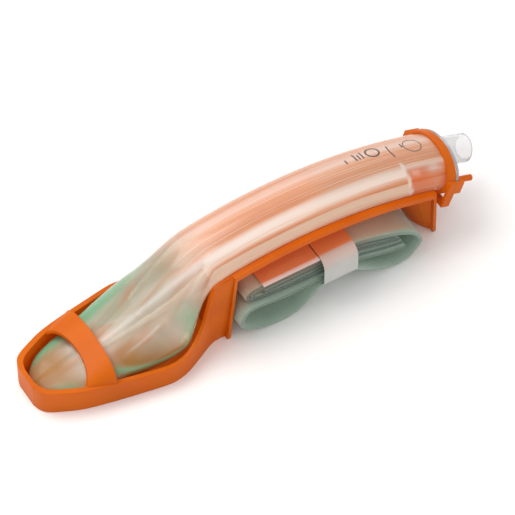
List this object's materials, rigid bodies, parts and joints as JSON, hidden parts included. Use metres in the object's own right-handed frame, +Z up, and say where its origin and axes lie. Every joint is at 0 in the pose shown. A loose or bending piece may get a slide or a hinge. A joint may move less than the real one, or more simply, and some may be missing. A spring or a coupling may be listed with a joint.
{
  "type": "supraglottic airway in protective cradle",
  "caption": "Single-use curved airway tube with a soft cuff and a round connector, lying in a moulded cradle with a folded strap, paper band and sachet under its arch.",
  "frame": {"origin": "on the table, below the middle of the length and width of the whole object", "axes": "+X from the cradle's nose to the 15 mm connector, +Y to the side opposite the strap's open edge, +Z up"},
  "size_m": [0.2653, 0.0622, 0.0625],
  "materials": {
    "cradle_plastic": "translucent orange moulded polypropylene, satin",
    "stem_elastomer": "clear, slightly warm thermoplastic elastomer, glossy",
    "cuff_gel": "clear soft gel elastomer with a faint green tint",
    "clear_plastic": "clear moulded plastic, glossy",
    "hook_plastic": "opaque orange moulded plastic, satin",
    "strap_fabric": "grey-green knitted fabric laminated on thin foam",
    "band_paper": "plain white paper, matt",
    "sachet_foil": "white laminated sachet film, satin"
  },
  "bodies": {
    "cradle": {"cradle": "cradle_plastic"},
    "airway": {"airway_stem": "stem_elastomer", "soft_cuff": "cuff_gel", "connector": "clear_plastic", "hook_ring": "hook_plastic"},
    "strap_pack": {"head_strap": "strap_fabric", "paper_band": "band_paper", "lubricant_sachet": "sachet_foil"}
  },
  "joints": [
    {"name": "airway_lift", "type": "hinge", "parent": "cradle", "child": "airway", "pos_m": [-0.11265, 0, 0.008], "axis": [0, -1, 0], "range_deg": [0, 8]},
    {"name": "strap_pull", "type": "slide", "parent": "cradle", "child": "strap_pack", "axis": [0, -1, 0], "range_m": [0, 0.075]}
  ]
}
